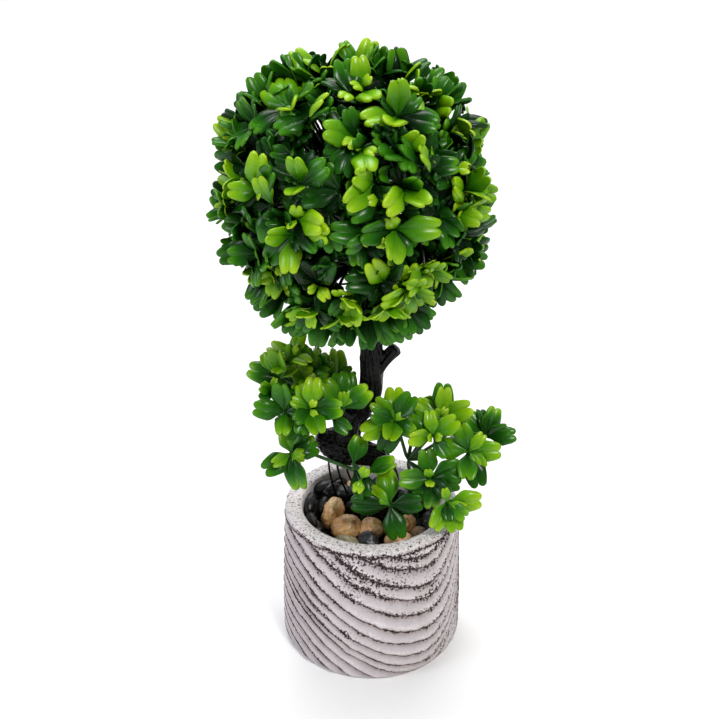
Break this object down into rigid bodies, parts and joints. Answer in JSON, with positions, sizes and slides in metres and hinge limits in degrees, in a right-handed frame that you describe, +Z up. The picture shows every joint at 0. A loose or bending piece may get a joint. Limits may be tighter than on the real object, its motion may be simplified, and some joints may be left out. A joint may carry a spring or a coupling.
{
  "type": "faux tabletop box-leaf ball topiary in a cement pot",
  "caption": "Small artificial topiary: a clipped ball of notched plastic leaves on a bent dark trunk, with leafy side sprays, standing in a round wave-relief pot with pebbles.",
  "frame": {"origin": "centre of the pot's flat underside, at the surface it stands on", "axes": "+Z up, along the height; -Y towards the front of the plant; +X to the right seen from the front"},
  "size_m": [0.1408, 0.123, 0.3018],
  "materials": {
    "pot_cement": "cast cement with a matt whitewash, dark in the grooves of its wave relief",
    "filling": "dark foam and grit under the pebbles",
    "trunk_plastic": "black moulded plastic with bark grain",
    "foliage": "glossy moulded plastic leaves, dark green to yellow-green at the tips",
    "pebble_tan": "tumbled tan stone",
    "pebble_brown": "tumbled brown stone",
    "pebble_grey": "tumbled grey-green stone",
    "pebble_slate": "tumbled slate-grey stone",
    "pebble_black": "polished black stone"
  },
  "bodies": {
    "root": {"pot": "pot_cement", "pot_filling": "filling", "trunk_lower": "trunk_plastic", "trunk_upper": "trunk_plastic", "stub_bough": "trunk_plastic", "wire_stem_1": "trunk_plastic", "wire_stem_2": "trunk_plastic", "wire_stem_3": "trunk_plastic", "crown_ball": "foliage", "left_spray": "foliage", "right_spray": "foliage", "front_spray": "foliage", "pebble_01": "pebble_tan", "pebble_02": "pebble_tan", "pebble_03": "pebble_tan", "pebble_04": "pebble_brown", "pebble_05": "pebble_tan", "pebble_06": "pebble_tan", "pebble_07": "pebble_grey", "pebble_08": "pebble_slate", "pebble_09": "pebble_brown", "pebble_10": "pebble_black", "pebble_11": "pebble_black", "pebble_12": "pebble_black", "pebble_13": "pebble_black", "pebble_14": "pebble_brown", "pebble_15": "pebble_black", "pebble_16": "pebble_tan", "pebble_17": "pebble_black", "pebble_18": "pebble_slate", "pebble_19": "pebble_black", "pebble_20": "pebble_black", "pebble_21": "pebble_brown"}
  },
  "joints": []
}
